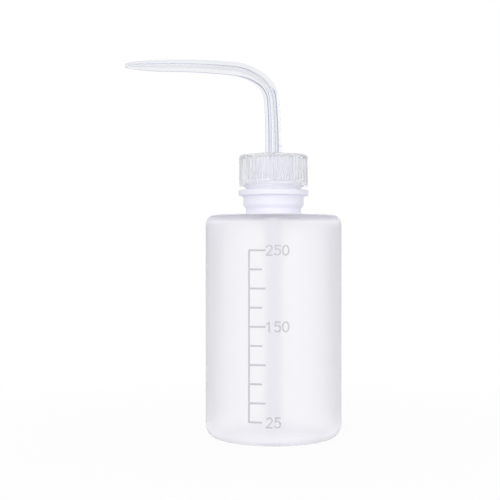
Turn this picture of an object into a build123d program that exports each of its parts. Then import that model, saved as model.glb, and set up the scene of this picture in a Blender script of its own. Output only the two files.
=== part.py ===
from build123d import *
import math
import os

# Laboratory wash bottle in millimetres: a squeeze bottle, its ribbed screw cap, the sealing plug
# under the cap, a bent spout that swivels in the plug, and a straight dip tube below it.
# +Z is up. The origin is on the bottle's axis, in the plane that the bottle stands on.
# At rest the cap is screwed down and the spout points along -X.

# Bottle body
body_diameter = 63.5
body_wall = 1.05
base_thickness = 1.7
base_corner_radius = 6.1
base_hollow_depth = 3.0
standing_ring_width = 2.4
base_weld_length = 38.0
base_weld_width = 1.2
base_weld_height = 0.4
shoulder_height = 103.6
shoulder_corner_radius = 4.2

# Bottle neck, heights counted from the shoulder upwards
neck_waist_diameter = 25.6
neck_waist_rise = 3.0
neck_root_radius = 1.8
neck_belly_diameter = 28.3
neck_belly_radius = 1.7
neck_bead_rise = 9.1
neck_bead_reach = 2.25
neck_bead_thickness = 2.6
neck_bead_radius = 0.6
neck_finish_diameter = 26.2
neck_finish_height = 13.7
neck_rim_radius = 0.5
neck_bore_diameter = 22.6
neck_lower_wall = 1.2

# Screw thread that bottle and cap share
thread_pitch = 4.23
thread_turns = 1.5
thread_start_drop = 1.7
thread_start_angle = 31.0
thread_flank_angle = 31.0
thread_flank_clearance = 0.15
thread_root_depth = 0.35
neck_thread_height = 1.0
neck_thread_crest_width = 1.0
cap_thread_crest_width = 0.7
cap_thread_crest_clearance = 0.25
cap_bore_clearance = 0.35

# Screw cap
cap_gap = 2.0
cap_wall = 1.05
cap_deck_thickness = 1.5
cap_edge_radius = 1.2
cap_inner_corner_radius = 0.8
cap_skirt_band_height = 1.9
cap_top_band_height = 1.5
cap_rib_count = 54
cap_rib_height = 0.55
cap_rib_width = 1.24
cap_hole_clearance = 0.25

# Sealing plug under the cap
plug_flange_thickness = 1.2
plug_flange_inset = 0.2
plug_skirt_length = 5.5
plug_skirt_wall = 1.0
plug_skirt_clearance = 0.1
plug_skirt_lead = 0.5
plug_socket_wall = 1.1
plug_socket_fillet = 0.8
plug_spout_depth = 6.7
plug_ledge_thickness = 1.0
plug_ledge_width = 1.3
plug_tube_depth = 5.0
spout_running_clearance = 0.05
tube_push_clearance = 0.02

# Spout, a thick-walled tube that thins towards its nozzle
spout_base_diameter = 7.7
spout_arm_diameter = 5.6
spout_tip_diameter = 2.2
spout_base_bore = 2.6
spout_arm_bore = 1.7
spout_tip_bore = 1.1
spout_riser_length = 3.3
spout_bend_radii = [308.0, 13.1, 25.4, 285.0]
spout_bend_angles = [4.2, 46.2, 34.0, 5.6]
spout_arm_length = 6.2
spout_nozzle_length = 16.0
spout_nozzle_fullness = 0.16
spout_section_spacing = 4.0

# Dip tube
tube_diameter = 7.0
tube_bore = 4.6
tube_floor_gap = 3.0

# Raised graduations, heights from the liquid that the body holds
mark_step_ml = 25
mark_last_ml = 250
mark_long_every = 2
mark_raise = 0.2
mark_line_width = 0.8
mark_line_angle = -21.1
mark_long_end_angle = -8.0
mark_short_end_angle = -10.8
mark_sink = 0.4

# Levels and radii worked out from the sizes above
body_radius = body_diameter / 2
body_inner_radius = body_radius - body_wall
ring_outer_radius = body_radius - base_corner_radius
ring_inner_radius = ring_outer_radius - standing_ring_width
floor_level = base_thickness
bead_bottom = shoulder_height + neck_bead_rise
bead_top = bead_bottom + neck_bead_thickness
rim_level = bead_top + neck_finish_height
finish_radius = neck_finish_diameter / 2
bore_radius = neck_bore_diameter / 2
cap_bottom = bead_top + cap_gap
deck_bottom = rim_level + plug_flange_thickness
deck_top = deck_bottom + cap_deck_thickness
cap_bore_radius = finish_radius + neck_thread_height + cap_bore_clearance
cap_root_radius = cap_bore_radius + cap_wall
cap_crest_radius = cap_root_radius + cap_rib_height
spout_base_radius = spout_base_diameter / 2
spout_foot = deck_bottom - plug_spout_depth
tube_radius = tube_diameter / 2
tube_top = spout_foot - plug_ledge_thickness
socket_radius = max(spout_base_radius + spout_running_clearance, tube_radius) + plug_socket_wall


def turned(corners):
    """Solid of revolution about Z from corners of (radius, height, fillet radius)."""
    points = [(radius, height) for radius, height, fillet_radius in corners]
    fillets = [fillet_radius for radius, height, fillet_radius in corners]
    outline = FilletPolyline(*points, radius=fillets, close=True)
    return revolve(Plane.XZ * make_face(outline), Axis.Z)


def dome(base_radius, height):
    """Spherical cap that stands on the plane z = 0."""
    sphere_radius = (base_radius**2 + height**2) / (2 * height)
    ball = Pos(0, 0, height - sphere_radius) * Sphere(sphere_radius)
    return ball & Pos(0, 0, height) * Box(3 * base_radius, 3 * base_radius, 2 * height)


def helical_ridge(foot_radius, crest_radius, crest_width, wall_radius, top_level):
    """Trapezoid ridge along the thread's helix, with a round blunt end at each end."""
    slope = math.tan(math.radians(thread_flank_angle))
    foot_half = crest_width / 2 + slope * abs(crest_radius - foot_radius)
    crest_half = crest_width / 2
    section = make_face(
        Polyline(
            (foot_radius, -foot_half),
            (crest_radius, -crest_half),
            (crest_radius, crest_half),
            (foot_radius, foot_half),
            close=True,
        )
    )
    run = thread_pitch * thread_turns
    path = Helix(thread_pitch, run, wall_radius)
    ridge = sweep(Plane.XZ * section, path=path, is_frenet=True)
    height = abs(crest_radius - foot_radius)
    outward = 1 if crest_radius > foot_radius else -1
    middle = (foot_radius + crest_radius) / 2
    blunt = Pos(middle, 0, 0) * Rot(0, 90 * outward, 0) * Cone(foot_half, crest_half, height)
    ridge += blunt
    ridge += Pos(0, 0, run) * Rot(0, 0, 360 * thread_turns) * blunt
    start_angle = thread_start_angle - 360 * thread_turns
    return Pos(0, 0, top_level - run) * Rot(0, 0, start_angle) * ridge


def thread_drop():
    """How far the cap's ridge lies below the neck's ridge, middle to middle."""
    slope = math.tan(math.radians(thread_flank_angle))
    neck_crest = finish_radius + neck_thread_height
    cap_crest = finish_radius + cap_thread_crest_clearance
    shared_depth = neck_crest - cap_crest
    crest_widths = (neck_thread_crest_width + cap_thread_crest_width) / 2
    return crest_widths + slope * shared_depth + thread_flank_clearance


def mark_height(millilitres):
    """Level of the liquid for a volume, above rounded corner and hollow of the base."""
    corner = base_corner_radius - body_wall
    corner_loss = 2 * math.pi * (body_inner_radius - 0.2234 * corner) * (1 - math.pi / 4) * corner**2
    hollow = base_hollow_depth
    hollow_loss = math.pi * hollow * (3 * ring_inner_radius**2 + hollow**2) / 6
    area = math.pi * body_inner_radius**2
    return floor_level + (1000 * millilitres + corner_loss + hollow_loss) / area


def raised_strip(from_angle, to_angle, low, high):
    """Strip that stands proud of the body between two angles left or right of the front."""
    depth = mark_sink + mark_raise
    section = Pos(body_radius - mark_sink + depth / 2, (low + high) / 2) * Rectangle(depth, high - low)
    strip = revolve(Plane.XZ * section, Axis.Z, to_angle - from_angle)
    return Rot(0, 0, from_angle - 90) * strip


def graduations():
    """Vertical line with a long or short tick at each step of volume."""
    straight_top = shoulder_height - shoulder_corner_radius - mark_line_width
    steps = range(1, mark_last_ml // mark_step_ml + 1)
    levels = {step: mark_height(step * mark_step_ml) for step in steps}
    levels = {step: level for step, level in levels.items() if level < straight_top}
    half = mark_line_width / 2
    half_angle = math.degrees(half / body_radius)
    first = min(levels.values())
    last = max(levels.values())
    marks = raised_strip(mark_line_angle - half_angle, mark_line_angle + half_angle, first - half, last + half)
    for step, level in levels.items():
        long_tick = step % mark_long_every == 0
        end_angle = mark_long_end_angle if long_tick else mark_short_end_angle
        marks += raised_strip(mark_line_angle, end_angle, level - half, level + half)
    return marks


def base_weld():
    """Pinch-off weld of the blown base: a low ridge across the hollow."""
    hollow = dome(ring_inner_radius, base_hollow_depth)
    lowered = dome(ring_inner_radius, base_hollow_depth - base_weld_height)
    strip = Box(base_weld_length, base_weld_width, 4 * base_hollow_depth)
    return (hollow - lowered) & strip


def bottle():
    """Blown bottle: body, hollow base, neck with bead and thread, and raised graduations."""
    waist = shoulder_height + neck_waist_rise
    belly_radius = neck_belly_diameter / 2
    waist_radius = neck_waist_diameter / 2
    bead_radius = belly_radius + neck_bead_reach
    outside = turned([
        (0, 0, 0),
        (body_radius, 0, base_corner_radius),
        (body_radius, shoulder_height, shoulder_corner_radius),
        (waist_radius, shoulder_height, neck_root_radius),
        (waist_radius, waist, 0),
        (belly_radius, waist + neck_belly_radius, neck_belly_radius),
        (belly_radius, bead_bottom, 0),
        (bead_radius, bead_bottom, neck_bead_radius),
        (bead_radius, bead_top, neck_bead_radius),
        (finish_radius, bead_top, 0),
        (finish_radius, rim_level, neck_rim_radius),
        (0, rim_level, 0),
    ])
    wall_corner = base_corner_radius - body_wall
    ceiling = shoulder_height - body_wall
    cavity = turned([
        (0, floor_level, 0),
        (body_inner_radius, floor_level, wall_corner),
        (body_inner_radius, ceiling, shoulder_corner_radius - body_wall),
        (waist_radius - neck_lower_wall, ceiling, neck_root_radius + body_wall),
        (waist_radius - neck_lower_wall, waist, 0),
        (belly_radius - neck_lower_wall, waist + neck_belly_radius, neck_belly_radius),
        (belly_radius - neck_lower_wall, bead_bottom - neck_lower_wall, neck_belly_radius),
        (bore_radius, bead_bottom + neck_lower_wall, 0),
        (bore_radius, rim_level + neck_rim_radius, 0),
        (0, rim_level + neck_rim_radius, 0),
    ])
    hollow = dome(ring_inner_radius, base_hollow_depth)
    cavity -= Pos(0, 0, floor_level) * hollow
    thread = helical_ridge(
        finish_radius - thread_root_depth,
        finish_radius + neck_thread_height,
        neck_thread_crest_width,
        finish_radius,
        rim_level - thread_start_drop,
    )
    return outside - cavity - hollow + base_weld() + thread + graduations()


def screw_cap():
    """Clear cap: ribbed skirt between two plain bands, deck with a hole, one thread ridge inside."""
    rib_bottom = cap_bottom + cap_skirt_band_height
    rib_top = deck_top - cap_top_band_height
    shell = turned([
        (0, cap_bottom, 0),
        (cap_crest_radius, cap_bottom, 0),
        (cap_crest_radius, rib_bottom, 0),
        (cap_root_radius, rib_bottom, 0),
        (cap_root_radius, rib_top, 0),
        (cap_crest_radius, rib_top, 0),
        (cap_crest_radius, deck_top, cap_edge_radius),
        (0, deck_top, 0),
    ])
    rib = Pos(cap_crest_radius - cap_rib_width / 2, 0) * Circle(cap_rib_width / 2)
    rib_ring = PolarLocations(0, cap_rib_count) * rib
    shell += Pos(0, 0, rib_bottom) * extrude(Circle(cap_root_radius) + rib_ring, rib_top - rib_bottom)
    room = turned([
        (0, cap_bottom - cap_wall, 0),
        (cap_bore_radius, cap_bottom - cap_wall, 0),
        (cap_bore_radius, deck_bottom, cap_inner_corner_radius),
        (0, deck_bottom, 0),
    ])
    hole = Pos(0, 0, deck_top) * Cylinder(spout_base_radius + cap_hole_clearance, 4 * cap_deck_thickness)
    thread = helical_ridge(
        cap_bore_radius + thread_root_depth,
        finish_radius + cap_thread_crest_clearance,
        cap_thread_crest_width,
        cap_bore_radius,
        rim_level - thread_start_drop - thread_drop(),
    )
    return shell - room - hole + thread


def inner_plug():
    """Plug: flange clamped on the rim, sealing skirt in the neck, socket for spout and tube."""
    skirt_radius = bore_radius - plug_skirt_clearance
    skirt_inner = skirt_radius - plug_skirt_wall
    skirt_bottom = rim_level - plug_skirt_length
    socket_bottom = tube_top - plug_tube_depth
    body = turned([
        (0, socket_bottom, 0),
        (socket_radius, socket_bottom, plug_skirt_lead),
        (socket_radius, rim_level, plug_socket_fillet),
        (skirt_inner, rim_level, plug_socket_fillet),
        (skirt_inner, skirt_bottom, 0),
        (skirt_radius - plug_skirt_lead, skirt_bottom, 0),
        (skirt_radius, skirt_bottom + 2 * plug_skirt_lead, 0),
        (skirt_radius, rim_level, 0),
        (finish_radius - plug_flange_inset, rim_level, 0),
        (finish_radius - plug_flange_inset, deck_bottom, 0),
        (0, deck_bottom, 0),
    ])
    spout_seat_radius = spout_base_radius + spout_running_clearance
    tube_seat_radius = tube_radius + tube_push_clearance
    passage = turned([
        (0, socket_bottom - plug_ledge_thickness, 0),
        (tube_seat_radius, socket_bottom - plug_ledge_thickness, 0),
        (tube_seat_radius, tube_top, 0),
        (tube_radius - plug_ledge_width, tube_top, 0),
        (tube_radius - plug_ledge_width, spout_foot, 0),
        (spout_seat_radius, spout_foot, 0),
        (spout_seat_radius, deck_bottom + plug_ledge_thickness, 0),
        (0, deck_bottom + plug_ledge_thickness, 0),
    ])
    return body - passage


def spout_line():
    """Line that the spout follows: a straight foot, tangent bends, and the straight arm and nozzle."""
    line = Line((0, spout_foot), (0, deck_top + spout_riser_length))
    for bend_radius, bend_angle in zip(spout_bend_radii, spout_bend_angles):
        line += JernArc(line @ 1, line % 1, bend_radius, bend_angle)
    line += Line(line @ 1, line @ 1 + (line % 1) * (spout_arm_length + spout_nozzle_length))
    return Plane.XZ * line


def spout_body(base_diameter, arm_diameter, tip_diameter, overrun):
    """Round body along the spout's line: even from the foot, thinning to the arm and faster in the nozzle."""
    line = Wire(spout_line().edges())
    foot_length = deck_top + spout_riser_length - spout_foot
    arm_end = line.length - spout_nozzle_length
    count = math.ceil((line.length - foot_length) / spout_section_spacing)
    sections = []
    for index in range(count + 1):
        distance = foot_length + (line.length - foot_length) * index / count
        if distance <= arm_end:
            share = (distance - foot_length) / (arm_end - foot_length)
            diameter = base_diameter + share * (arm_diameter - base_diameter)
        else:
            share = (distance - arm_end) / spout_nozzle_length
            bulge = 4 * spout_nozzle_fullness * share * (1 - share)
            diameter = arm_diameter + (share - bulge) * (tip_diameter - arm_diameter)
        origin = line.position_at(distance, PositionMode.LENGTH)
        direction = line.tangent_at(distance, PositionMode.LENGTH)
        sections.append(Plane(origin, x_dir=(0, 1, 0), z_dir=direction) * Circle(diameter / 2))
    body = loft(sections)
    foot = Cylinder(base_diameter / 2, foot_length + overrun)
    body += Pos(0, 0, spout_foot + (foot_length - overrun) / 2) * foot
    if overrun:
        body += extrude(sections[-1], overrun)
    return body


def spout():
    """Bent spout with a tapered bore and a drawn nozzle."""
    outside = spout_body(spout_base_diameter, spout_arm_diameter, spout_tip_diameter, 0)
    bore = spout_body(spout_base_bore, spout_arm_bore, spout_tip_bore, spout_tip_bore)
    return outside - bore


def dip_tube():
    """Straight tube from the plug's socket to just above the floor."""
    bottom = floor_level + base_hollow_depth + tube_floor_gap
    length = tube_top - bottom
    middle = Pos(0, 0, bottom + length / 2)
    return middle * (Cylinder(tube_radius, length) - Cylinder(tube_bore / 2, 2 * length))


os.makedirs("parts", exist_ok=True)
for node in (bottle, screw_cap, inner_plug, spout, dip_tube):
    export_step(node(), f"parts/{node.__name__}.step")
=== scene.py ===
import math
import bpy
import numpy as np
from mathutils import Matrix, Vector


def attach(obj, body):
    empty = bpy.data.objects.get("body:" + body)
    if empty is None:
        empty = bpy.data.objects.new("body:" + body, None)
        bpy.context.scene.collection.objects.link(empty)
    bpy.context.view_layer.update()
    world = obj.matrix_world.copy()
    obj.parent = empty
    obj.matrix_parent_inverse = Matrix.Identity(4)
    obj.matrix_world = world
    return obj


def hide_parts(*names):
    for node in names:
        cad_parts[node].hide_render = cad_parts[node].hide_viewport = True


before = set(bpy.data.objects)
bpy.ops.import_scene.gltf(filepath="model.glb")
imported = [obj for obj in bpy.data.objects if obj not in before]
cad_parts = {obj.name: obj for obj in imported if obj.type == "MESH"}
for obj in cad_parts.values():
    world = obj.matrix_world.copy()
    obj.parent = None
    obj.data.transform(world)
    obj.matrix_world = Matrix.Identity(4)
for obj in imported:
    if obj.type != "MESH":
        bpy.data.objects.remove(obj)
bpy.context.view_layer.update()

# Sizes of the object are in millimetres until a mesh is written
MM = 0.001
HAIR_GAP = 0.02

# Bottle
BODY_RADIUS = 31.75
BODY_WALL = 1.05
FLOOR_LEVEL = 1.7
BASE_CORNER = 6.1
BASE_HOLLOW = 3.0
HOLLOW_RADIUS = 23.25
WELD_LENGTH = 38.0
WELD_WIDTH = 1.2
WELD_HEIGHT = 0.4
WELD_EDGE = 0.3
WELD_LOWEST = 0.2
WELD_HIGHEST = 3.1
SHOULDER_LEVEL = 103.6
SHOULDER_CORNER = 4.2
WAIST_RADIUS = 12.8
WAIST_LEVEL = 106.6
NECK_ROOT = 1.8
BELLY_RADIUS = 14.15
BELLY_ROUND = 1.7
BEAD_RADIUS = 16.4
BEAD_BOTTOM = 112.7
BEAD_TOP = 115.3
BEAD_ROUND = 0.6
FINISH_RADIUS = 13.1
RIM_LEVEL = 129.0
RIM_ROUND = 0.5
NECK_BORE = 11.3
NECK_WALL = 1.2
STEP_ROUND = 0.3
BORE_ROUND = 0.5
DOME_STEPS = 24
BOTTLE_SIDES = 288

# Heights where the bottle's wall changes its material. Below BASE_END and between SHOULDER_START and
# NECK_START the wall takes a lighter, less refracting copy of the frosted plastic, painted light that
# brightens the base and shoulder; above NECK_START it takes the neck's plastic
BASE_END = 6.0
SHOULDER_START = 99.4
NECK_START = 103.3

# Thread, shared by neck and cap
THREAD_PITCH = 4.23
THREAD_TURNS = 1.5
THREAD_START = 31.0
THREAD_FLANK = math.tan(math.radians(31.0))
THREAD_TOP = 127.3
THREAD_HEIGHT = 1.0
NECK_CREST = 1.0
CAP_CREST = 0.7
THREAD_DROP = 1.45
THREAD_ROW = 0.16
THREAD_MARGIN = 0.2
CAP_THREAD_SHARE = 0.85

# Cap
CAP_BOTTOM = 117.3
CAP_TOP = 131.7
DECK_BOTTOM = 130.2
CAP_BORE = 14.45
CAP_ROOT = 15.5
CAP_CROWN = 16.05
CAP_EDGE = 1.2
RIB_BOTTOM = 119.2
RIB_TOP = 130.2
RIB_COUNT = 54
RIB_RADIUS = 0.62
RIB_CURVE = (-84, -64, -44, -24, -8, 8, 24, 44, 64, 84)
RIB_FOOT = 0.0055
RIB_END_ROUND = 0.12
GROOVE_INSET = 0.1
HEM_ROUND = 0.25
HEM_TOP_ROUND = 0.15
DECK_ROUND = 0.8
BORE_LEAD = 0.3
CAP_HOLE = 4.1
HOLE_ROUND = 0.2
TOP_SKIN = 0.5

# Plug
FLANGE_RADIUS = 12.9
SKIRT_RADIUS = 11.2
SKIRT_WALL = 1.0
SKIRT_BOTTOM = 123.5
SKIRT_LEAD = 0.5
SOCKET_RADIUS = 5.0
SOCKET_BOTTOM = 117.5
SOCKET_ROUND = 0.8
SPOUT_SEAT = 3.9
TUBE_SEAT = 3.52
LEDGE_RADIUS = 2.2
PLUG_ROUND = 0.2
PLUG_CREASE = 0.1
PLUG_LIP = 0.15
PLUG_SIDES = 144

# Spout
SPOUT_FOOT = 123.5
SPOUT_RISE = 135.0
BEND_RADII = (308.0, 13.1, 25.4, 285.0)
BEND_ANGLES = (4.2, 46.2, 34.0, 5.6)
ARM_LENGTH = 6.2
NOZZLE_LENGTH = 16.0
NOZZLE_FULLNESS = 0.16
SPOUT_DIAMETERS = (7.7, 5.6, 2.2)
SPOUT_BORES = (2.6, 1.7, 1.1)
SPOUT_STEP = 0.7
SPOUT_LIP = 0.18
LIP_BEVEL = 0.054
SPOUT_SIDES = 72

# Dip tube
TUBE_RADIUS = 3.5
TUBE_BORE = 2.3
TUBE_TOP = 122.5
TUBE_BOTTOM = 7.7
TUBE_ROUND = 0.2
TUBE_SIDES = 96

# Volume marks. Their ends across the body are in degrees round it from the front
MARK_LEVELS = 10
MARK_NUMBERS = ((10, "250"), (6, "150"), (1, "25"))
MARK_FIRST = 11.3
MARK_STEP = 8.44
MARK_RAISE = 0.2
MARK_WIDTH = 0.8
MARK_LINE = -21.1
MARK_LONG_END = -8.0
MARK_SHORT_END = -10.8
MARK_SECTION = (-20, 0, 20, 45, 70, 90, 110, 135, 160, 180, 200)
MARK_ROUND_END = (0.35, 0.7, 0.98)
MARK_SINK = 0.03
DIGIT_HEIGHT = 4.85
DIGIT_WIDTH = 2.7
DIGIT_PITCH = 3.66
DIGIT_STROKE = 0.62
DIGIT_START = -3.9

# Camera: level, square to the scale, a little left of the bottle so that the spout is in view.
# Its place is in metres, its lens and sensor in millimetres
CAMERA_PLACE = (-0.0110, -0.515, 0.08735)
CAMERA_LENS = 79.1
SENSOR_WIDTH = 36.0

# Light and floor, with places and sizes in metres
WORLD_COLOUR = (0.96, 0.965, 1.0)
WORLD_STRENGTH = 0.62
SHADE_COLOUR = (0.42, 0.43, 0.6)
LAMP_AIM = (0, 0, 0.09)
KEY_PLACE = (-0.35, -0.7, 0.45)
KEY_SIZE = (0.6, 0.6)
KEY_POWER = 2.1
FILL_PLACE = (0.45, -0.6, 0.25)
FILL_SIZE = (0.5, 0.7)
FILL_POWER = 1.2
PANEL_COUNT = 8
PANEL_EDGE = (-1.0, -0.5)
PANEL_TOP = (1.0, 0.8)
FLOOR_REACH = 3.0
FLOOR_DROP = 0.0002
FLOOR_COLOUR = (0.9, 0.9, 0.9)
SHADOW_REACH = (0.06, 0.25)
SHADOW_DEPTH = 0.06

# Plastic: clouds in its colour and gloss, and the grain of its surface, with a depth in millimetres
CLOUDS_PER_METRE = 45
CLOUD_DEPTH = 0.985
CLOUD_SPAN = (0.3, 0.7)
GLOSS_SPREAD = 0.04
GRAIN_PER_METRE = 1600
GRAIN_DEPTH = 0.02
GRAIN_STRENGTH = 0.3
SMOOTH_GRAIN = 0.01


def rounded(corners, steps=7):
    """Outline through (radius, height, fillet) corners, with an arc for each fillet."""
    points = []
    count = len(corners)
    for index, (radius, height, fillet) in enumerate(corners):
        here = np.array((radius, height), float)
        if fillet == 0 or index in (0, count - 1):
            points.append(tuple(here))
            continue
        before = np.array(corners[index - 1][:2], float) - here
        after = np.array(corners[index + 1][:2], float) - here
        before /= np.linalg.norm(before)
        after /= np.linalg.norm(after)
        half = math.acos(float(np.clip(before @ after, -1, 1))) / 2
        reach = fillet / math.tan(half)
        centre = here + (before + after) / np.linalg.norm(before + after) * fillet / math.sin(half)
        start = here + before * reach - centre
        end = here + after * reach - centre
        turn = math.pi - 2 * half
        side = math.copysign(1, start[0] * end[1] - start[1] * end[0])
        for step in range(steps + 1):
            angle = side * turn * step / steps
            spin = np.array(((math.cos(angle), -math.sin(angle)), (math.sin(angle), math.cos(angle))))
            points.append(tuple(centre + spin @ start))
    return points


def divided(outline, low, high, spacing):
    """Outline with extra points on its straight runs between two heights."""
    points = [outline[0]]
    for a, b in zip(outline, outline[1:]):
        length = math.dist(a, b)
        inside = min(a[1], b[1]) >= low - 1e-6 and max(a[1], b[1]) <= high + 1e-6
        parts = max(1, round(length / spacing)) if inside else 1
        for part in range(1, parts + 1):
            share = part / parts
            points.append((a[0] + (b[0] - a[0]) * share, a[1] + (b[1] - a[1]) * share))
    return points


def ring_faces(first, second, count):
    """Quads between two rings of vertices."""
    return [(first + k, first + (k + 1) % count, second + (k + 1) % count, second + k) for k in range(count)]


def make_piece(name, vertices, faces, sharp=35):
    """Smooth-shaded mesh object from points in millimetres, with edges kept where faces turn sharply."""
    mesh = bpy.data.meshes.new(name)
    mesh.from_pydata([tuple(MM * value for value in vertex) for vertex in vertices], [], faces)
    mesh.validate()
    piece = bpy.data.objects.new(name, mesh)
    bpy.context.collection.objects.link(piece)
    mesh.shade_smooth()
    mesh.set_sharp_from_angle(angle=math.radians(sharp))
    return piece


def turned_grid(outline, angles, relief=None):
    """Vertices and faces of an outline turned about Z, which ends on the axis or closes on itself."""
    vertices, faces, rings = [], [], []
    sines, cosines = np.sin(angles), np.cos(angles)
    count = len(angles)
    for index, (radius, height) in enumerate(outline):
        if radius < 1e-9:
            rings.append((len(vertices), True))
            vertices.append((0.0, 0.0, height))
            continue
        radii = np.full(count, radius, float)
        heights = np.full(count, height, float)
        if relief:
            radii, heights = relief(index, radius, height, angles, radii, heights)
        rings.append((len(vertices), False))
        vertices += list(zip(radii * cosines, radii * sines, heights))
    pairs = list(zip(rings, rings[1:]))
    if outline[0][0] > 1e-9:
        pairs.append((rings[-1], rings[0]))
    for (a, a_pole), (b, b_pole) in pairs:
        if a_pole and b_pole:
            continue
        if a_pole:
            faces += [(a, b + (k + 1) % count, b + k) for k in range(count)]
        elif b_pole:
            faces += [(a + k, a + (k + 1) % count, b) for k in range(count)]
        else:
            faces += ring_faces(a, b, count)
    return vertices, faces


def even_angles(count):
    return np.arange(count) * 2 * math.pi / count


def thread_height(angles, height, middle_top, crest):
    """How far the thread's ridge stands out at each angle, for one height."""
    run = THREAD_PITCH * THREAD_TURNS
    start = math.radians(THREAD_START) - 2 * math.pi * THREAD_TURNS
    total = 2 * math.pi * THREAD_TURNS
    foot_half = crest / 2 + THREAD_FLANK * THREAD_HEIGHT
    best = np.zeros(len(angles))
    base = np.mod(angles - start, 2 * math.pi)
    for turn in range(-1, math.ceil(THREAD_TURNS) + 1):
        along = base + 2 * math.pi * turn
        inside = np.clip(along, 0, total)
        past = np.abs(along - inside) * FINISH_RADIUS
        off = height - (middle_top - run + THREAD_PITCH * inside / (2 * math.pi))
        away = np.hypot(off, past)
        best = np.maximum(best, np.clip((foot_half - away) / (foot_half - crest / 2), 0, 1))
    return best * THREAD_HEIGHT


def arc_dome(radius, height, level):
    """Points of a shallow dome from its rim to just before its crown."""
    ball = (radius**2 + height**2) / (2 * height)
    points = []
    for step in range(DOME_STEPS):
        away = radius * (1 - step / DOME_STEPS)
        points.append((away, level + math.sqrt(ball**2 - away**2) - (ball - height)))
    return points


def bottle_outlines():
    """Outer and inner outline of the bottle, from the middle of the base up to the rim."""
    under = list(reversed(arc_dome(HOLLOW_RADIUS, BASE_HOLLOW, 0)))
    under = [(0.0, BASE_HOLLOW)] + under
    outer = rounded([
        under[-1] + (0,),
        (BODY_RADIUS, 0, BASE_CORNER),
        (BODY_RADIUS, SHOULDER_LEVEL, SHOULDER_CORNER),
        (WAIST_RADIUS, SHOULDER_LEVEL, NECK_ROOT),
        (WAIST_RADIUS, WAIST_LEVEL, 0),
        (BELLY_RADIUS, WAIST_LEVEL + BELLY_ROUND, BELLY_ROUND),
        (BELLY_RADIUS, BEAD_BOTTOM, STEP_ROUND),
        (BEAD_RADIUS, BEAD_BOTTOM, BEAD_ROUND),
        (BEAD_RADIUS, BEAD_TOP, BEAD_ROUND),
        (FINISH_RADIUS, BEAD_TOP, STEP_ROUND),
        (FINISH_RADIUS, RIM_LEVEL, RIM_ROUND),
        (NECK_BORE, RIM_LEVEL, 0),
    ])
    floor = [(0.0, FLOOR_LEVEL + BASE_HOLLOW)]
    floor += list(reversed(arc_dome(HOLLOW_RADIUS, BASE_HOLLOW, FLOOR_LEVEL)))
    inner = rounded([
        floor[-1] + (0,),
        (BODY_RADIUS - BODY_WALL, FLOOR_LEVEL, BASE_CORNER - BODY_WALL),
        (BODY_RADIUS - BODY_WALL, SHOULDER_LEVEL - BODY_WALL, SHOULDER_CORNER - BODY_WALL),
        (WAIST_RADIUS - NECK_WALL, SHOULDER_LEVEL - BODY_WALL, NECK_ROOT + BODY_WALL),
        (WAIST_RADIUS - NECK_WALL, WAIST_LEVEL, 0),
        (BELLY_RADIUS - NECK_WALL, WAIST_LEVEL + BELLY_ROUND, BELLY_ROUND),
        (BELLY_RADIUS - NECK_WALL, BEAD_BOTTOM - NECK_WALL, BELLY_ROUND),
        (NECK_BORE, BEAD_BOTTOM + NECK_WALL, BORE_ROUND),
        (NECK_BORE, RIM_LEVEL, 0),
    ])
    return under[:-1] + outer, floor[:-1] + inner[:-1]


def bottle_body():
    """Blown bottle with its thread; its outside and inside are one closed wall."""
    outer, inner = bottle_outlines()
    outer = divided(outer, BEAD_TOP + THREAD_MARGIN, RIM_LEVEL - RIM_ROUND, THREAD_ROW)
    outline = outer + list(reversed(inner))
    outer_count = len(outer)

    def relief(index, radius, height, angles, radii, heights):
        outside = index < outer_count
        threaded = BEAD_TOP + THREAD_MARGIN < height < RIM_LEVEL - THREAD_MARGIN
        if outside and threaded and abs(radius - FINISH_RADIUS) < 1e-6:
            radii = radii + thread_height(angles, height, THREAD_TOP, NECK_CREST)
        if outside and radius < WELD_LENGTH / 2 and WELD_LOWEST < height < WELD_HIGHEST:
            across = np.abs(radius * np.sin(angles))
            side = np.clip((WELD_WIDTH / 2 - across) / WELD_EDGE + 0.5, 0, 1)
            heights = heights - WELD_HEIGHT * side
        return radii, heights

    vertices, faces = turned_grid(outline, even_angles(BOTTLE_SIDES), relief)
    return make_piece("bottle_body", vertices, faces)


def cap_angles():
    """Angles round the cap, closer together where each rib curves."""
    offsets = [RIB_RADIUS * math.sin(math.radians(lean)) / CAP_ROOT for lean in RIB_CURVE]
    pitch = 2 * math.pi / RIB_COUNT
    offsets += [offsets[-1] + RIB_FOOT, pitch / 2, pitch + offsets[0] - RIB_FOOT]
    return np.array([pitch * rib + offset for rib in range(RIB_COUNT) for offset in offsets])


def rib_radii(angles):
    """Outer radius of the ribbed skirt at each angle."""
    pitch = 2 * math.pi / RIB_COUNT
    off = np.mod(angles + pitch / 2, pitch) - pitch / 2
    across = CAP_ROOT * np.sin(off)
    rise = np.sqrt(np.clip(RIB_RADIUS**2 - across**2, 0, None))
    return np.maximum(CAP_ROOT, CAP_CROWN - RIB_RADIUS + rise)


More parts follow.
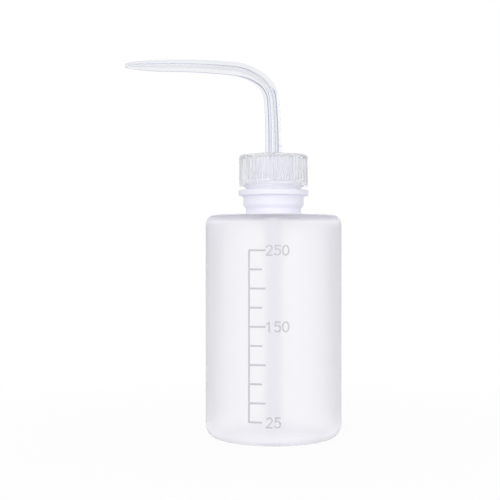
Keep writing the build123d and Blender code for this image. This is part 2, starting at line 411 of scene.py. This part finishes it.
def cap_body():
    """Clear cap with ribs outside and a thread ridge inside."""
    outer = rounded([
        (CAP_BORE, CAP_BOTTOM, 0),
        (CAP_CROWN, CAP_BOTTOM, HEM_ROUND),
        (CAP_CROWN, RIB_BOTTOM, HEM_TOP_ROUND),
        (CAP_ROOT, RIB_BOTTOM, 0),
    ], 3)
    grooves = [(CAP_ROOT, RIB_BOTTOM + GROOVE_INSET), (CAP_ROOT, RIB_TOP - GROOVE_INSET)]
    top = rounded([
        (CAP_ROOT, RIB_TOP, 0),
        (CAP_CROWN, RIB_TOP, RIB_END_ROUND),
        (CAP_CROWN, CAP_TOP, CAP_EDGE),
        (CAP_HOLE, CAP_TOP, HOLE_ROUND),
        (CAP_HOLE, DECK_BOTTOM, HOLE_ROUND),
        (CAP_BORE, DECK_BOTTOM, DECK_ROUND),
        (CAP_BORE, CAP_BOTTOM + BORE_LEAD, 0),
    ], 6)
    top = divided(top, CAP_BOTTOM + THREAD_MARGIN, DECK_BOTTOM - DECK_ROUND, THREAD_ROW)
    outline = outer + grooves + top
    rib_rows = range(len(outer) - 1, len(outer) + len(grooves) + 1)
    bore_end = DECK_BOTTOM - (DECK_ROUND + THREAD_MARGIN)

    def relief(index, radius, height, angles, radii, heights):
        if index in rib_rows:
            radii = rib_radii(angles)
        elif abs(radius - CAP_BORE) < 1e-6 and height < bore_end and index > len(outer):
            ridge = thread_height(angles, height, THREAD_TOP - THREAD_DROP, CAP_CREST)
            radii = radii - CAP_THREAD_SHARE * ridge
        return radii, heights

    vertices, faces = turned_grid(outline, cap_angles(), relief)
    return make_piece("cap_body", vertices, faces)


def plug_body():
    """Sealing plug: flange on the rim, skirt in the neck, socket for spout and tube."""
    corners = [
        (LEDGE_RADIUS, SPOUT_FOOT - HAIR_GAP, 0),
        (SPOUT_SEAT, SPOUT_FOOT - HAIR_GAP, 0),
        (SPOUT_SEAT, DECK_BOTTOM - HAIR_GAP, PLUG_ROUND),
        (FLANGE_RADIUS, DECK_BOTTOM - HAIR_GAP, PLUG_ROUND),
        (FLANGE_RADIUS, RIM_LEVEL + HAIR_GAP, PLUG_ROUND),
        (SKIRT_RADIUS, RIM_LEVEL + HAIR_GAP, PLUG_CREASE),
        (SKIRT_RADIUS, SKIRT_BOTTOM + 2 * SKIRT_LEAD, 0),
        (SKIRT_RADIUS - SKIRT_LEAD, SKIRT_BOTTOM, PLUG_ROUND),
        (SKIRT_RADIUS - SKIRT_WALL, SKIRT_BOTTOM, PLUG_CREASE),
        (SKIRT_RADIUS - SKIRT_WALL, RIM_LEVEL, SOCKET_ROUND),
        (SOCKET_RADIUS, RIM_LEVEL, SOCKET_ROUND),
        (SOCKET_RADIUS, SOCKET_BOTTOM, SKIRT_LEAD),
        (TUBE_SEAT, SOCKET_BOTTOM, PLUG_LIP),
        (TUBE_SEAT, TUBE_TOP + HAIR_GAP, 0),
        (LEDGE_RADIUS, TUBE_TOP + HAIR_GAP, 0),
    ]
    vertices, faces = turned_grid(list(reversed(rounded(corners, 5))), even_angles(PLUG_SIDES))
    return make_piece("plug_body", vertices, faces)


def tube_body():
    """Straight dip tube with softened ends."""
    outline = rounded([
        (TUBE_BORE, TUBE_BOTTOM, 0),
        (TUBE_RADIUS, TUBE_BOTTOM, TUBE_ROUND),
        (TUBE_RADIUS, TUBE_TOP, TUBE_ROUND),
        (TUBE_BORE, TUBE_TOP, TUBE_ROUND),
        (TUBE_BORE, TUBE_BOTTOM + TUBE_ROUND / 2, 0),
    ], 4)
    vertices, faces = turned_grid(outline, even_angles(TUBE_SIDES))
    return make_piece("tube_body", vertices, faces)


def spout_path():
    """Places along the spout's line as (distance, x, z, heading from +Z towards -X)."""
    stations = [(0.0, 0.0, SPOUT_FOOT, 0.0)]

    def advance(length, turn):
        parts = max(1, math.ceil(length / SPOUT_STEP))
        for _ in range(parts):
            distance, x, z, heading = stations[-1]
            middle = heading + turn / parts / 2
            chord = length / parts
            if turn:
                half = turn / parts / 2
                chord *= math.sin(half) / half
            stations.append((
                distance + length / parts,
                x - chord * math.sin(middle),
                z + chord * math.cos(middle),
                heading + turn / parts,
            ))

    advance(SPOUT_RISE - SPOUT_FOOT, 0)
    for radius, angle in zip(BEND_RADII, BEND_ANGLES):
        advance(radius * math.radians(angle), math.radians(angle))
    advance(ARM_LENGTH + NOZZLE_LENGTH, 0)
    return stations


def tapered(distance, length, sizes):
    """Diameter at a distance along the spout: slow taper to the arm's end, then the nozzle."""
    base, arm, tip = sizes
    foot = SPOUT_RISE - SPOUT_FOOT
    arm_end = length - NOZZLE_LENGTH
    if distance <= foot:
        return base
    if distance <= arm_end:
        return base + (arm - base) * (distance - foot) / (arm_end - foot)
    share = (distance - arm_end) / NOZZLE_LENGTH
    bulge = 4 * NOZZLE_FULLNESS * share * (1 - share)
    return arm + (share - bulge) * (tip - arm)


def spout_body():
    """Bent spout with a tapered bore and a rounded nozzle lip; its foot is a flat ring."""
    stations = spout_path()
    length = stations[-1][0]
    angles = even_angles(SPOUT_SIDES)
    rows = []
    for distance, x, z, heading in stations:
        rows.append((x, z, heading, tapered(distance, length, SPOUT_DIAMETERS) / 2))
    x, z, heading, radius = rows.pop()
    for back, inward in ((SPOUT_LIP, 0), (LIP_BEVEL, LIP_BEVEL), (0, SPOUT_LIP)):
        rows.append((x + back * math.sin(heading), z - back * math.cos(heading), heading, radius - inward))
    for distance, x, z, heading in reversed(stations):
        rows.append((x, z, heading, tapered(distance, length, SPOUT_BORES) / 2))
    vertices, faces = [], []
    for x, z, heading, radius in rows:
        across = radius * np.cos(angles)
        deep = radius * np.sin(angles)
        vertices += list(zip(x + across * math.cos(heading), deep, z + across * math.sin(heading)))
    for row in range(len(rows)):
        faces += ring_faces(row * SPOUT_SIDES, (row + 1) % len(rows) * SPOUT_SIDES, SPOUT_SIDES)
    return make_piece("spout_body", vertices, faces, 50)


def unit_rows(vectors):
    """Each row scaled to a length of one."""
    return vectors / np.linalg.norm(vectors, axis=1)[:, None]


def stroke_ridge(path, width, raise_height, vertices, faces):
    """Rounded ridge along a path of (across, height) points laid on the body's wall."""
    points = np.array(path, float)
    steps = np.diff(points, axis=0)
    ahead = np.vstack([steps, steps[-1:]])
    behind = np.vstack([steps[:1], steps])
    tangents = unit_rows(unit_rows(ahead) + unit_rows(behind))
    sides = np.column_stack([-tangents[:, 1], tangents[:, 0]])
    profile = [math.radians(lean) for lean in MARK_SECTION]
    bands = []
    half = width / 2
    closed = np.allclose(points[0], points[-1])
    if closed:
        points, sides = points[:-1], sides[:-1]
        bands = [(points[i], sides[i], 1.0) for i in range(len(points))]
    else:
        for back in reversed(MARK_ROUND_END):
            shift = points[0] - tangents[0] * half * back
            bands.append((shift, sides[0], math.sqrt(1 - back**2)))
        bands += [(points[i], sides[i], 1.0) for i in range(len(points))]
        for out in MARK_ROUND_END:
            shift = points[-1] + tangents[-1] * half * out
            bands.append((shift, sides[-1], math.sqrt(1 - out**2)))
    first = len(vertices)
    count = len(profile)
    for point, side, share in bands:
        for lean in profile:
            place = point + side * half * share * math.cos(lean)
            proud = raise_height * (share * math.sin(lean)) + HAIR_GAP / 2
            angle = place[0] / BODY_RADIUS - math.pi / 2
            radius = BODY_RADIUS + max(proud, -MARK_SINK)
            vertices.append((radius * math.cos(angle), radius * math.sin(angle), place[1]))
    rows = len(bands)
    for row in range(rows if closed else rows - 1):
        faces += ring_faces(first + row * count, first + (row + 1) % rows * count, count)
    if not closed:
        faces.append(tuple(first + k for k in range(count)))
        faces.append(tuple(first + (rows - 1) * count + k for k in reversed(range(count))))


def straight(start, end, spacing=0.6):
    """Evenly spaced points from start to end."""
    parts = max(1, round(math.dist(start, end) / spacing))
    return [
        (start[0] + (end[0] - start[0]) * k / parts, start[1] + (end[1] - start[1]) * k / parts)
        for k in range(parts + 1)
    ]


def bow(centre_x, centre_y, radius_x, radius_y, start, end, parts=14):
    """Points on an elliptical arc, angles in degrees."""
    angles = [math.radians(start + (end - start) * k / parts) for k in range(parts + 1)]
    return [(centre_x + radius_x * math.cos(a), centre_y + radius_y * math.sin(a)) for a in angles]


def digit_strokes(digit):
    """Strokes of a digit in a box one wide and one high, standing on the line y = 0."""
    if digit == "0":
        return [bow(0.5, 0.5, 0.5, 0.5, 90, 450, 36)]
    if digit == "1":
        return [straight((0.12, 0.78), (0.5, 1.0), 0.12), straight((0.5, 1.0), (0.5, 0.0), 0.12)]
    if digit == "2":
        head = bow(0.5, 0.72, 0.46, 0.28, 160, -38, 16)
        return [head + straight(head[-1], (0.04, 0.0), 0.12)[1:], straight((0.04, 0.0), (1.0, 0.0), 0.12)]
    bowl = bow(0.47, 0.33, 0.5, 0.33, 128, -148, 22)
    stem = straight((0.2, 1.0), (0.12, 0.56), 0.12)
    return [straight((0.95, 1.0), (0.2, 1.0), 0.12), stem + bowl]


def mark_ridges():
    """Vertical line, ticks and numbers of the volume scale, raised on the front of the body."""
    vertices, faces = [], []
    levels = [MARK_FIRST + MARK_STEP * step for step in range(MARK_LEVELS)]
    arc = math.radians(1) * BODY_RADIUS
    line = MARK_LINE * arc
    half = MARK_WIDTH / 2
    stroke_ridge(straight((line, levels[0]), (line, levels[-1])), MARK_WIDTH, MARK_RAISE, vertices, faces)
    for step, level in enumerate(levels, 1):
        end = (MARK_LONG_END if step % 2 == 0 else MARK_SHORT_END) * arc
        stroke_ridge(straight((line + half, level), (end, level)), MARK_WIDTH, MARK_RAISE, vertices, faces)
    for step, number in MARK_NUMBERS:
        middle = levels[step - 1]
        for place, digit in enumerate(number):
            left = DIGIT_START + place * DIGIT_PITCH
            for stroke in digit_strokes(digit):
                path = [
                    (left + x * DIGIT_WIDTH, middle + (y - 0.5) * (DIGIT_HEIGHT - DIGIT_STROKE))
                    for x, y in stroke
                ]
                stroke_ridge(path, DIGIT_STROKE, MARK_RAISE, vertices, faces)
    return make_piece("volume_marks", vertices, faces, 60)


def make_camera():
    data = bpy.data.cameras.new("camera")
    data.lens = CAMERA_LENS
    data.sensor_width = SENSOR_WIDTH
    camera = bpy.data.objects.new("camera", data)
    camera.location = CAMERA_PLACE
    camera.rotation_euler = (math.radians(90), 0, 0)
    bpy.context.collection.objects.link(camera)
    bpy.context.scene.camera = camera


def ray_kinds(tree):
    """Camera rays, and rays that left the object by reflection or through clear plastic."""
    path = tree.nodes.new("ShaderNodeLightPath")
    bent = tree.nodes.new("ShaderNodeMath")
    bent.operation = "MAXIMUM"
    tree.links.new(path.outputs["Is Transmission Ray"], bent.inputs[0])
    tree.links.new(path.outputs["Is Glossy Ray"], bent.inputs[1])
    return path.outputs["Is Camera Ray"], bent.outputs[0]


def maths(tree, operation, first, second=None):
    """Math node on sockets or plain numbers."""
    node = tree.nodes.new("ShaderNodeMath")
    node.operation = operation
    for socket, value in zip(node.inputs, (first, second)):
        if isinstance(value, (int, float)):
            socket.default_value = value
        elif value is not None:
            tree.links.new(value, socket)
    return node.outputs[0]


def ranged(tree, value, before, after, curve="LINEAR"):
    """Value carried from one range to another and held at its ends."""
    node = tree.nodes.new("ShaderNodeMapRange")
    node.interpolation_type = curve
    tree.links.new(value, node.inputs["Value"])
    node.inputs["From Min"].default_value = before[0]
    node.inputs["From Max"].default_value = before[1]
    node.inputs["To Min"].default_value = after[0]
    node.inputs["To Max"].default_value = after[1]
    return node.outputs[0]


def panel_pattern(tree):
    """Brightness of the white panels round the object: one towards each, less between them."""
    direction = tree.nodes.new("ShaderNodeTexCoord").outputs["Generated"]
    split = tree.nodes.new("ShaderNodeSeparateXYZ")
    tree.links.new(direction, split.inputs[0])
    azimuth = maths(tree, "ARCTAN2", split.outputs["X"], split.outputs["Y"])
    wave = maths(tree, "COSINE", maths(tree, "MULTIPLY", azimuth, PANEL_COUNT))
    around = ranged(tree, wave, PANEL_EDGE, (0.0, 1.0), "SMOOTHSTEP")
    up = ranged(tree, maths(tree, "ABSOLUTE", split.outputs["Z"]), PANEL_TOP, (0.0, 1.0), "SMOOTHSTEP")
    return maths(tree, "MULTIPLY", around, up)


def background(tree, colour, strength):
    node = tree.nodes.new("ShaderNodeBackground")
    node.inputs["Color"].default_value = (*colour, 1)
    node.inputs["Strength"].default_value = strength
    return node.outputs[0]


def mixed(tree, share, first, second):
    """Mix Shader between two shaders."""
    mix = tree.nodes.new("ShaderNodeMixShader")
    tree.links.new(share, mix.inputs[0])
    tree.links.new(first, mix.inputs[1])
    tree.links.new(second, mix.inputs[2])
    return mix.outputs[0]


def make_world():
    """Soft light all round. The camera sees white; plastic shows white panels with shade between."""
    world = bpy.data.worlds.new("studio")
    bpy.context.scene.world = world
    world.use_nodes = True
    tree = world.node_tree
    tree.nodes.clear()
    out = tree.nodes.new("ShaderNodeOutputWorld")
    dim = background(tree, WORLD_COLOUR, WORLD_STRENGTH)
    white = background(tree, (1, 1, 1), 1.0)
    shade = background(tree, SHADE_COLOUR, 1.0)
    camera, bent = ray_kinds(tree)
    surround = mixed(tree, bent, dim, mixed(tree, panel_pattern(tree), shade, white))
    tree.links.new(mixed(tree, camera, surround, white), out.inputs["Surface"])


def area_lamp(name, place, size, power):
    data = bpy.data.lights.new(name, "AREA")
    data.shape = "RECTANGLE"
    data.size = size[0]
    data.size_y = size[1]
    data.energy = power
    lamp = bpy.data.objects.new(name, data)
    lamp.location = place
    direction = Vector(LAMP_AIM) - Vector(place)
    lamp.rotation_euler = direction.to_track_quat("-Z", "Y").to_euler()
    bpy.context.collection.objects.link(lamp)


def make_floor():
    """Pale floor that the camera sees as white, with a faint shadow close to the bottle."""
    corners = [(FLOOR_REACH * x, FLOOR_REACH * y, 0) for x, y in ((-1, -1), (1, -1), (1, 1), (-1, 1))]
    mesh = bpy.data.meshes.new("floor")
    mesh.from_pydata(corners, [], [(0, 1, 2, 3)])
    floor = bpy.data.objects.new("floor", mesh)
    floor.location.z = -FLOOR_DROP
    bpy.context.collection.objects.link(floor)
    material = bpy.data.materials.new("floor_white")
    material.use_nodes = True
    tree = material.node_tree
    tree.nodes.clear()
    out = tree.nodes.new("ShaderNodeOutputMaterial")
    diffuse = tree.nodes.new("ShaderNodeBsdfDiffuse")
    diffuse.inputs["Color"].default_value = (*FLOOR_COLOUR, 1)
    white = tree.nodes.new("ShaderNodeEmission")
    white.inputs["Color"].default_value = (1, 1, 1, 1)
    away = tree.nodes.new("ShaderNodeVectorMath")
    away.operation = "LENGTH"
    tree.links.new(tree.nodes.new("ShaderNodeTexCoord").outputs["Object"], away.inputs[0])
    near = ranged(tree, away.outputs["Value"], SHADOW_REACH, (1.0 - SHADOW_DEPTH, 1.0))
    camera, bent = ray_kinds(tree)
    glow = maths(tree, "MAXIMUM", maths(tree, "MULTIPLY", camera, near), bent)
    tree.links.new(mixed(tree, glow, diffuse.outputs[0], white.outputs[0]), out.inputs["Surface"])
    mesh.materials.append(material)


def cloudy(tree, place, cells_per_metre, detail):
    """Noise between zero and one, fixed to the piece."""
    node = tree.nodes.new("ShaderNodeTexNoise")
    node.inputs["Scale"].default_value = cells_per_metre
    node.inputs["Detail"].default_value = detail
    tree.links.new(place, node.inputs["Vector"])
    return node.outputs[0]


def blended_colour(tree, share, first, second):
    """Colour between two colours."""
    mix = tree.nodes.new("ShaderNodeMix")
    mix.data_type = "RGBA"
    tree.links.new(share, mix.inputs["Factor"])
    colours = [socket for socket in mix.inputs if socket.type == "RGBA"]
    for socket, colour in zip(colours, (first, second)):
        socket.default_value = (*colour, 1)
    return next(socket for socket in mix.outputs if socket.type == "RGBA")


def plastic(name, colour, clear, rough, ior, grain=GRAIN_STRENGTH, spread=GLOSS_SPREAD):
    """Moulded plastic: soft clouds in colour and gloss, and a fine grain in the surface."""
    material = bpy.data.materials.new(name)
    material.use_nodes = True
    tree = material.node_tree
    shader = tree.nodes["Principled BSDF"]
    place = tree.nodes.new("ShaderNodeTexCoord").outputs["Object"]
    clouds = cloudy(tree, place, CLOUDS_PER_METRE, 3)
    darker = [value * CLOUD_DEPTH for value in colour]
    tree.links.new(blended_colour(tree, clouds, darker, colour), shader.inputs["Base Color"])
    tree.links.new(ranged(tree, clouds, CLOUD_SPAN, (rough, rough + spread)), shader.inputs["Roughness"])
    bump = tree.nodes.new("ShaderNodeBump")
    bump.inputs["Strength"].default_value = grain
    bump.inputs["Distance"].default_value = GRAIN_DEPTH * MM
    tree.links.new(cloudy(tree, place, GRAIN_PER_METRE, 2), bump.inputs["Height"])
    tree.links.new(bump.outputs[0], shader.inputs["Normal"])
    shader.inputs["Transmission Weight"].default_value = clear
    shader.inputs["IOR"].default_value = ior
    return material


def bottle_region(polygon):
    """Which material a face of the bottle takes: 0 wall, 1 inside, 2 base and shoulder with painted light, 3
    neck.
    """
    centre = polygon.center
    if centre.z < BASE_END * MM or SHOULDER_START * MM < centre.z < NECK_START * MM:
        return 2
    away = math.hypot(centre.x, centre.y)
    facing = (polygon.normal.x * centre.x + polygon.normal.y * centre.y) / (away + 1e-9)
    if facing < -1e-4:
        return 1
    return 3 if centre.z > NECK_START * MM else 0


def cap_region(polygon):
    """Which material a face of the cap takes: 0 outside, 1 bore and underside of the deck."""
    centre = polygon.center
    in_bore = math.hypot(centre.x, centre.y) < (CAP_BORE + GROOVE_INSET) * MM
    return 1 if in_bore and centre.z < (CAP_TOP - TOP_SKIN) * MM else 0


def dress(piece, materials, region=None):
    """Gives a piece its materials, face by face where a region says which."""
    for material in materials:
        piece.data.materials.append(material)
    if region:
        for polygon in piece.data.polygons:
            polygon.material_index = region(polygon)


make_camera()
make_world()
make_floor()
area_lamp("key", KEY_PLACE, KEY_SIZE, KEY_POWER)
area_lamp("fill", FILL_PLACE, FILL_SIZE, FILL_POWER)

# Finishes: clear is the share of light let through, and rough blurs what is seen through or mirrored
FROSTED = plastic("frosted", (0.97, 0.965, 1.0), clear=1.0, rough=0.43, ior=1.25)
FROSTED_INSIDE = plastic("frosted_inside", (0.998, 0.998, 1.0), clear=1.0, rough=0.25, ior=1.25)
# Painted light: a lighter, less refracting copy of the frosted wall, so that the base and shoulder render
# brighter than the same wall does
PAINTED_LIGHT_CORNER = plastic("corner_painted_light", (0.98, 0.975, 1.0), clear=1.0, rough=0.43, ior=1.08)
NECK = plastic("neck", (0.93, 0.92, 0.985), clear=0.0, rough=0.4, ior=1.4)
CLEAR = plastic("clear", (0.98, 0.987, 1.0), clear=0.7, rough=0.1, ior=1.15)
CLEAR_INSIDE = plastic("clear_inside", (0.98, 0.985, 1.0), clear=1.0, rough=0.1, ior=1.4)
PLUG = plastic("plug", (0.98, 0.975, 1.0), clear=0.0, rough=0.4, ior=1.4)
HAZY = plastic("hazy", (0.88, 0.89, 0.91), clear=1.0, rough=0.0, ior=1.5, grain=SMOOTH_GRAIN, spread=0.01)
TUBE = plastic("tube", (0.985, 0.98, 1.0), clear=1.0, rough=0.15, ior=1.5)
# Marks are darker grey and less clear than the wall: partly the thicker plastic of the raised strokes,
# partly painted shade standing in for the shaded edges of the relief
MARKS_WITH_PAINTED_SHADE = plastic("marks", (0.74, 0.74, 0.78), clear=0.2, rough=0.4, ior=1.5)

bottle = bottle_body()
dress(bottle, (FROSTED, FROSTED_INSIDE, PAINTED_LIGHT_CORNER, NECK), bottle_region)
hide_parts("bottle")
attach(bottle, "bottle")

marks = mark_ridges()
dress(marks, (MARKS_WITH_PAINTED_SHADE,))
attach(marks, "bottle")

for make, node, body, slot, materials, region in (
    (cap_body, "screw_cap", "cap", "clear_polypropylene", (CLEAR, CLEAR_INSIDE), cap_region),
    (plug_body, "inner_plug", "head", "plug_polyethylene", (PLUG,), None),
    (spout_body, "spout", "spout", "spout_polyethylene", (HAZY,), None),
    (tube_body, "dip_tube", "head", "tube_polyethylene", (TUBE,), None),
):
    piece = make()
    dress(piece, materials, region)
    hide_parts(node)
    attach(piece, body)

# Light passes through many thin walls on its way
cycles = bpy.context.scene.cycles
cycles.max_bounces = 64
cycles.transmission_bounces = 32
cycles.glossy_bounces = 16
cycles.diffuse_bounces = 32
bpy.context.scene.view_settings.view_transform = "Standard"
